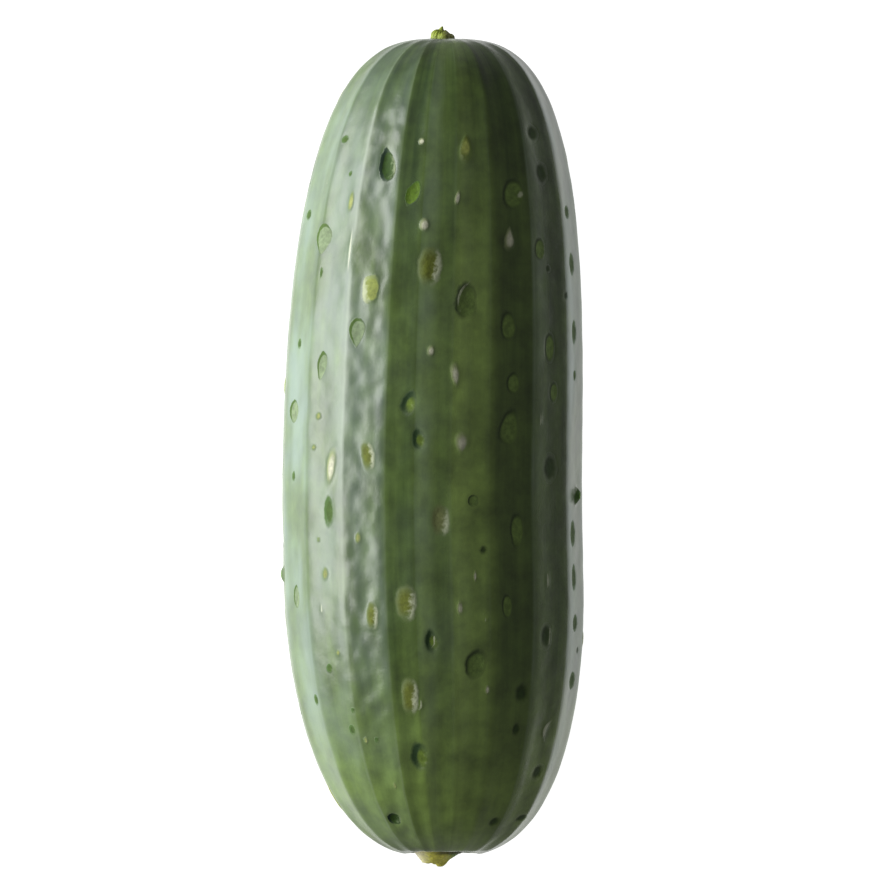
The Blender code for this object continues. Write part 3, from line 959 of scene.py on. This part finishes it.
def raised_piece(name, seat, surface, material):
    """A closed cap over a round seat, whose surface follows a rule, pointing away from the fruit."""
    builder = bmesh.new()

    def add_vertex(x, z, share):
        """A point of the cap, from its place over the seat and its share of the seat's radius."""
        sideways, height = surface(x, z, share)
        return builder.verts.new(seat.centre + Vector((sideways, seat.side * height, z)))

    rows = []
    for ring in range(1, CAP_RINGS + 1):
        # Rings crowd towards the rim, where the wall is steep
        share = math.sin(math.pi / 2 * ring / CAP_RINGS)
        row = []
        for step in range(CAP_STEPS):
            turn = math.tau * step / CAP_STEPS
            reach = seat.radius * share * (1 + CORNER_SHARE * math.cos(CORNERS * turn))
            row.append(add_vertex(reach * math.cos(turn), reach * math.sin(turn), share))
        rows.append(row)
    root = seat.centre.y - seat.side * ROOT_DEPTH
    base = [builder.verts.new((vertex.co.x, root, vertex.co.z)) for vertex in rows[-1]]
    rows.append(base)
    crown = add_vertex(0.0, 0.0, 0.0)
    for step in range(CAP_STEPS):
        after = (step + 1) % CAP_STEPS
        builder.faces.new((crown, rows[0][step], rows[0][after]))
        for inner, outer in zip(rows, rows[1:]):
            builder.faces.new((inner[step], outer[step], outer[after], inner[after]))
    builder.faces.new(reversed(base))
    bmesh.ops.recalc_face_normals(builder, faces=builder.faces)
    piece = mesh_object(name, builder, material)
    piece.data.shade_smooth()
    piece.data.set_sharp_from_angle(angle=math.radians(CAP_SHARP))
    return piece


def grain(x, z, size, seed):
    """Smooth noise from -1 to 1 over a seat, its lumps of this size."""
    return noise.noise(Vector((x / size, z / size, seed)))


def seat_distance(x, z, place):
    """How far a point of a seat is from a place on it."""
    return math.hypot(x - place[0], z - place[1])


def stub_surface(x, z, share):
    """Place along X and height of the broken stem over its seat: a skewed cone with a torn top."""
    from_crown = seat_distance(x, z, (STUB_CROWN, 0))
    rightwards = (1 + (x - STUB_CROWN) / max(from_crown, WELD)) / 2
    foot = mixed(STUB_FOOT, rightwards)
    brink = foot * mixed(STUB_BRINK, rightwards)
    cone = STUB_HEIGHT * min(max((foot - from_crown) / (foot - brink), -1), 1)
    across = x - TOOTH_PLACE[0]
    if across > 0:
        across *= TOOTH_GENTLENESS
    from_tooth = math.hypot(across, z - TOOTH_PLACE[1])
    tooth = TOOTH_HEIGHT * smooth_step((TOOTH_REACH - from_tooth) / TOOTH_WALL)
    flake = FLAKE_HEIGHT * smooth_step(1 - seat_distance(x, z, FLAKE_PLACE) / FLAKE_REACH)
    ragged = sum(height * grain(x, z, size, seed) for height, size, seed in STUB_RAGS)
    return x, cone + tooth + flake + ragged * smooth_step((1 - share) * RAGS_REACH)


def blossom_surface(x, z, share):
    """Place along X and height of the dried petals over their seat."""
    petals = 0.0
    for lobe_x, lobe_z, size, tall in LOBES:
        away = seat_distance(x, z, (lobe_x * MM, lobe_z * MM)) / (size * MM)
        petals = max(petals, tall * MM * math.sqrt(max(1 - away * away, 0)))
    from_spike = seat_distance(x, z, SPIKE_PLACE)
    spike = SPIKE_HEIGHT * smooth_step(1 - from_spike / SPIKE_REACH)
    turn = math.atan2(z - SPIKE_PLACE[1], x - SPIKE_PLACE[0])
    # Furrows run out from the spike on the fresh side, and crumbs cover the dead one
    fresh = smooth_step(from_spike / MM) * smooth_step((FURROWS_END - x) / MM)
    furrows = FURROW_DEPTH * math.cos(FURROWS * turn) * fresh
    dead = smooth_step((x - CRUMBS_START) / MM)
    crumbs = CRUMB_HEIGHT * grain(x, z, CRUMB_SIZE, CRUMB_SEED) * dead
    height = (petals + spike + furrows + crumbs) * smooth_step((1 - share) * PETALS_REACH)
    return x + SPIKE_LEAN * spike, height


def tissue_bands(tree, seat, tissue, stops):
    """Place over a piece's seat, its grain, and the colours that run across it, each (place, colour)."""
    add = partial(add_node, tree)
    coordinates = add("ShaderNodeTexCoord")["Object"]
    placed = add("ShaderNodeMapping", {"Vector": coordinates, "Location": -seat.centre})[0]
    grains = {
        "Vector": placed, "Scale": 1 / tissue.grain, "Detail": tissue.detail, "Roughness": tissue.raggedness
    }
    grains = add("ShaderNodeTexNoise", grains)[0]
    x, y, _ = add("ShaderNodeSeparateXYZ", (placed,))
    across = add("ShaderNodeMapRange", (x, *tissue.span, 0.0, 1.0))[0]
    uneven = add("ShaderNodeMath", (grains, tissue.wander, across), operation="MULTIPLY_ADD")[0]
    bands = add("ShaderNodeValToRGB", (uneven,))[0]
    ramp = bands.node.color_ramp
    while len(ramp.elements) < len(stops):
        ramp.elements.new(0.5)
    for element, (place, colour) in zip(ramp.elements, stops):
        element.position = place
        element.color = (*colour, 1)
    return x, y, grains, bands


def finish_tissue(tree, shader, tissue, grains, colour):
    """Shades and roughens a piece's colour by its grain."""
    add = partial(add_node, tree)
    shade = add("ShaderNodeMapRange", (grains, 0.3, 0.7, *tissue.shades))[0]
    shaded = add("ShaderNodeVectorMath", {0: colour, "Scale": shade}, operation="SCALE")[0]
    relief = {"Height": grains, "Strength": tissue.relief, "Distance": tissue.depth}
    relief = add("ShaderNodeBump", relief)[0]
    tree.links.new(shaded, shader.inputs["Base Color"])
    tree.links.new(relief, shader.inputs["Normal"])
    shader.inputs["Roughness"].default_value = tissue.roughness


def stub_material(look):
    """The broken stem: fibrous living tissue, pithy and pale where it tore, green where skin is left.

    Its fibres end in a pimpled, dull face that dries to straw and olive, and a painted shadow darkens the
    seam at its foot on the +X side.
    """
    material, tree, shader = new_material("torn_cucumber_stem")
    add = partial(add_node, tree)
    stops = ((0.2, look.pith), (0.5, look.straw), (0.85, look.straw), (1.0, look.rind))
    x, y, pimples, colour = tissue_bands(tree, STUB_SEAT, STUB_TISSUE, stops)
    # Painted shadow in the seam where the stub meets the fruit, on its +X side
    seam_shadow = add("ShaderNodeMapRange", (y, *SEAM_SHADOW_HEIGHT, SEAM_SHADOW_COVER, 0.0))[0]
    shaded = add("ShaderNodeMapRange", (x, *SEAM_SHADOW_SIDE, 0.0, 1.0))[0]
    seam_shadow = add("ShaderNodeMath", (seam_shadow, shaded), operation="MULTIPLY")[0]
    shadowed = {0: seam_shadow, 6: colour, 7: (*look.crease_shadow, 1)}
    colour = add("ShaderNodeMix", shadowed, data_type="RGBA")[2]
    finish_tissue(tree, shader, STUB_TISSUE, pimples, colour)
    return material


def blossom_material(look):
    """The dried flower: one petal base still fresh and yellow-green, the rest shrivelled and brown.

    Dead tissue is dull, and crumbles into dark and pale specks.
    """
    material, tree, shader = new_material("dried_cucumber_blossom")
    stops = ((0.55, look.fresh), (0.75, look.withered), (0.98, look.withered), (1.0, look.brown))
    _, _, crumbs, colour = tissue_bands(tree, BLOSSOM_SEAT, BLOSSOM_TISSUE, stops)
    finish_tissue(tree, shader, BLOSSOM_TISSUE, crumbs, colour)
    return material


# ---------------------------------------------------------------------------------------------------
# What a user would change


class CucumberSkinLook(bpy.types.PropertyGroup):
    """Sizes and colours of the fruit's skin"""

    facet_hollow: bpy.props.FloatProperty(
        name="Facet Hollow", description="How far the middle of a facet dips, against the fruit's radius",
        default=0.0045, min=0.0, max=0.05,
    )
    lump_size: bpy.props.FloatProperty(
        name="Lump Size", description="Size of the skin's soft lumps", default=2.3 * MM, subtype="DISTANCE",
        unit="LENGTH",
    )
    lump_height: bpy.props.FloatProperty(
        name="Lump Height", description="Height of the skin's soft lumps", default=0.42 * MM,
        subtype="DISTANCE", unit="LENGTH",
    )
    dark_green: bpy.props.FloatVectorProperty(
        name="Dark Green", description="Skin between the lengthwise threads", subtype="COLOR",
        default=linear("#2a3e12"),
    )
    light_green: bpy.props.FloatVectorProperty(
        name="Light Green", description="Skin along the lengthwise threads", subtype="COLOR",
        default=linear("#86a04c"),
    )
    # Pale rib line, partly a painted highlight along the crest
    thread_and_highlight_colour: bpy.props.FloatVectorProperty(
        name="Rib Thread", description="Pale line along each rib", subtype="COLOR",
        default=linear("#8f9f84"),
    )
    # Wax bloom, which also carries painted sheen on the sides that face the window
    bloom_and_sheen_colour: bpy.props.FloatVectorProperty(
        name="Bloom", description="Wax bloom on the skin", subtype="COLOR", default=linear("#a2b6b0")
    )
    bloom_cover: bpy.props.FloatProperty(
        name="Bloom Cover", description="How much of the skin's colour the bloom hides", default=0.45,
        min=0.0, max=1.0, subtype="FACTOR",
    )
    # Dried sap on the warts and hairs, and the painted highlight on the warts' lit edges
    crust_hair_and_glint_colour: bpy.props.FloatVectorProperty(
        name="Crust", description="Dried sap on the warts", subtype="COLOR", default=linear("#bec5a6")
    )


class CucumberStubLook(bpy.types.PropertyGroup):
    """Colours of the torn stem"""

    pith: bpy.props.FloatVectorProperty(
        name="Pith", description="Torn pale tissue", subtype="COLOR", default=linear("#e2dcb8")
    )
    straw: bpy.props.FloatVectorProperty(
        name="Straw", description="Drying yellow tissue", subtype="COLOR", default=linear("#c9c552")
    )
    rind: bpy.props.FloatVectorProperty(
        name="Rind", description="Green skin left on the stem", subtype="COLOR", default=linear("#6c9018")
    )
    # Painted shadow in the seam where the stem meets the fruit
    crease_shadow: bpy.props.FloatVectorProperty(
        name="Crease", description="Dark seam where the stem meets the fruit", subtype="COLOR",
        default=linear("#33320c"),
    )


class CucumberBlossomLook(bpy.types.PropertyGroup):
    """Colours of the dried flower"""

    fresh: bpy.props.FloatVectorProperty(
        name="Fresh", description="Petal base that is still green", subtype="COLOR",
        default=linear("#98a83c"),
    )
    withered: bpy.props.FloatVectorProperty(
        name="Withered", description="Shrivelled petals", subtype="COLOR", default=linear("#868a44")
    )
    brown: bpy.props.FloatVectorProperty(
        name="Brown", description="Dead rim of the flower", subtype="COLOR", default=linear("#363c16")
    )


class CucumberStageLook(bpy.types.PropertyGroup):
    """Size of the floor, and the strength of the lights"""

    floor_size: bpy.props.FloatProperty(
        name="Floor Size", description="Side of the square floor", default=4.0, subtype="DISTANCE",
        unit="LENGTH",
    )
    floor_glow: bpy.props.FloatProperty(
        name="Floor Glow", description="Light that the lit table gives out", default=1.0, min=0.0
    )
    floor_far_glow: bpy.props.FloatProperty(
        name="Far Floor Glow", description="Light of the table away from the fruit", default=0.15, min=0.0
    )
    window_light: bpy.props.FloatProperty(
        name="Window Light", description="Power of the soft window on the left, in watts", default=5.5,
        min=0.0,
    )
    surround: bpy.props.FloatProperty(
        name="Surround", description="Brightness of the room", default=0.19, min=0.0
    )


# ---------------------------------------------------------------------------------------------------
# Operators


def declare(piece, node):
    """Attaches a finished piece to the body it rides on, and hides the frame's solid that it stands for."""
    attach(piece, BODY)
    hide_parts(node)


class CUCUMBER_OT_skin(bpy.types.Operator):
    """Builds the ribbed fruit with its warts and its waxy skin"""

    bl_idname = "cucumber.skin"
    bl_label = "Build Skin"

    def execute(self, context):
        look = context.scene.cucumber_skin
        outline, along_outline = outline_points()
        section = section_points()
        round_section = {label: [point[label] for point in section] for label in section[0]}
        sources = {
            "Section": point_mesh(
                "section",
                [(0, 0, 0)] * len(section),
                {label: ("FLOAT", values) for label, values in round_section.items()},
            ),
            "Outline": point_mesh(
                "outline", outline, {label: ("FLOAT", values) for label, values in along_outline.items()}
            ),
            "Warts": wart_points(),
            "Hairs": hair_points(),
        }
        sizes = {
            "Rib Radius": RIB_RADIUS,
            "Axis Height": AXIS_HEIGHT,
            "Facet Hollow": look.facet_hollow,
            "Lump Size": look.lump_size,
            "Lump Height": look.lump_height,
            "Lump Seed": LUMP_SEED,
            "Skin": epidermis_material(look),
        }
        fruit = run_tree("fruit_skin", skin_tree(), {**sources, **sizes})
        for source in sources.values():
            bpy.data.objects.remove(source)
        if not fruit.data.polygons:
            raise RuntimeError("the skin's tree made no faces")
        declare(fruit, "fruit")
        return {"FINISHED"}


class CUCUMBER_OT_stub(bpy.types.Operator):
    """Builds the torn stub of the stem"""

    bl_idname = "cucumber.stub"
    bl_label = "Build Stem Stub"

    def execute(self, context):
        material = stub_material(context.scene.cucumber_stub)
        stub = raised_piece("stem_stub_torn", STUB_SEAT, stub_surface, material)
        declare(stub, "stem_stub")
        return {"FINISHED"}


class CUCUMBER_OT_blossom(bpy.types.Operator):
    """Builds the dried remnant of the flower"""

    bl_idname = "cucumber.blossom"
    bl_label = "Build Blossom"

    def execute(self, context):
        material = blossom_material(context.scene.cucumber_blossom)
        blossom = raised_piece("blossom_dried", BLOSSOM_SEAT, blossom_surface, material)
        declare(blossom, "blossom_remnant")
        return {"FINISHED"}


def table_material(look):
    """Frosted white table top, lit from inside so that it stays pale and shows no shadow.

    Its light is even round the fruit and fades away from it.
    """
    material, tree, shader = new_material("frosted_white_table")
    add = partial(add_node, tree)
    shader.inputs["Base Color"].default_value = (FLOOR_GREY, FLOOR_GREY, FLOOR_GREY, 1)
    shader.inputs["Roughness"].default_value = FLOOR_ROUGHNESS
    shader.inputs["Emission Color"].default_value = (1, 1, 1, 1)
    place = add("ShaderNodeTexCoord")["Object"]
    place = add("ShaderNodeVectorMath", (place,), operation="ABSOLUTE")[0]
    x, y, _ = add("ShaderNodeSeparateXYZ", (place,))
    glow = look.floor_glow
    for side, reach, edge in zip((x, y), POOL_REACH, POOL_EDGE):
        glow = (side, reach, edge, glow, look.floor_far_glow)
        glow = add("ShaderNodeMapRange", glow, interpolation_type="SMOOTHSTEP")[0]
    tree.links.new(glow, shader.inputs["Emission Strength"])
    return material


def add_floor(look):
    """A square table top under the fruit."""
    builder = bmesh.new()
    bmesh.ops.create_grid(builder, x_segments=1, y_segments=1, size=look.floor_size / 2)
    mesh_object("floor", builder, table_material(look))


def add_window(look):
    """A wide soft light on the -X side, which isn't seen itself."""
    light = bpy.data.lights.new("window", "AREA")
    light.shape = "RECTANGLE"
    light.size = WINDOW_WIDTH
    light.size_y = WINDOW_HEIGHT
    light.energy = look.window_light
    lamp = bpy.data.objects.new("window", light)
    lamp.location = (-WINDOW_AWAY, WINDOW_ALONG, WINDOW_HEIGHT / 2)
    lamp.rotation_euler = Vector((1, 0, 0)).to_track_quat("-Z", "Y").to_euler()
    lamp.visible_camera = False
    bpy.context.scene.collection.objects.link(lamp)


def add_room(look):
    """A dim even room, shown with plain display colours."""
    world = bpy.data.worlds.new("room")
    world.use_nodes = True
    background = world.node_tree.nodes["Background"]
    background.inputs["Color"].default_value = (1, 1, 1, 1)
    background.inputs["Strength"].default_value = look.surround
    bpy.context.scene.world = world
    bpy.context.scene.view_settings.view_transform = "Standard"


def add_camera():
    """Straight above the fruit, with the blossom end at the top of the picture."""
    camera = bpy.data.cameras.new("camera")
    camera.sensor_width = SENSOR_WIDTH
    camera.lens = LENS
    camera.clip_end = VIEW_END
    eye = bpy.data.objects.new("camera", camera)
    eye.location = (*VIEW_CENTRE, AXIS_HEIGHT + VIEW_WIDTH * LENS / SENSOR_WIDTH)
    bpy.context.scene.collection.objects.link(eye)
    bpy.context.scene.camera = eye


class CUCUMBER_OT_stage(bpy.types.Operator):
    """Lays the floor, and sets up the window, the room and the camera"""

    bl_idname = "cucumber.stage"
    bl_label = "Set Stage"

    def execute(self, context):
        look = context.scene.cucumber_stage
        add_floor(look)
        add_window(look)
        add_room(look)
        add_camera()
        return {"FINISHED"}


class CUCUMBER_PT_panel(bpy.types.Panel):
    """Lists the pieces and the stage, each with its sizes and colours"""

    bl_label = "Pickling Cucumber"
    bl_idname = "CUCUMBER_PT_panel"
    bl_space_type = "VIEW_3D"
    bl_region_type = "UI"
    bl_category = "Cucumber"

    def draw(self, context):
        for operator, _, group in STEPS:
            box = self.layout.box()
            box.operator(operator.bl_idname)
            settings = getattr(context.scene, group)
            for label in settings.__annotations__:
                box.prop(settings, label)


STEPS = (
    (CUCUMBER_OT_skin, CucumberSkinLook, "cucumber_skin"),
    (CUCUMBER_OT_stub, CucumberStubLook, "cucumber_stub"),
    (CUCUMBER_OT_blossom, CucumberBlossomLook, "cucumber_blossom"),
    (CUCUMBER_OT_stage, CucumberStageLook, "cucumber_stage"),
)


def register():
    for operator, settings, group in STEPS:
        bpy.utils.register_class(settings)
        bpy.utils.register_class(operator)
        setattr(bpy.types.Scene, group, bpy.props.PointerProperty(type=settings))
    bpy.utils.register_class(CUCUMBER_PT_panel)


def unregister():
    bpy.utils.unregister_class(CUCUMBER_PT_panel)
    for operator, settings, group in reversed(STEPS):
        delattr(bpy.types.Scene, group)
        bpy.utils.unregister_class(operator)
        bpy.utils.unregister_class(settings)


def main():
    """Builds every piece and the stage."""
    register()
    bpy.ops.cucumber.skin()
    bpy.ops.cucumber.stub()
    bpy.ops.cucumber.blossom()
    bpy.ops.cucumber.stage()


if __name__ == "__main__":
    main()
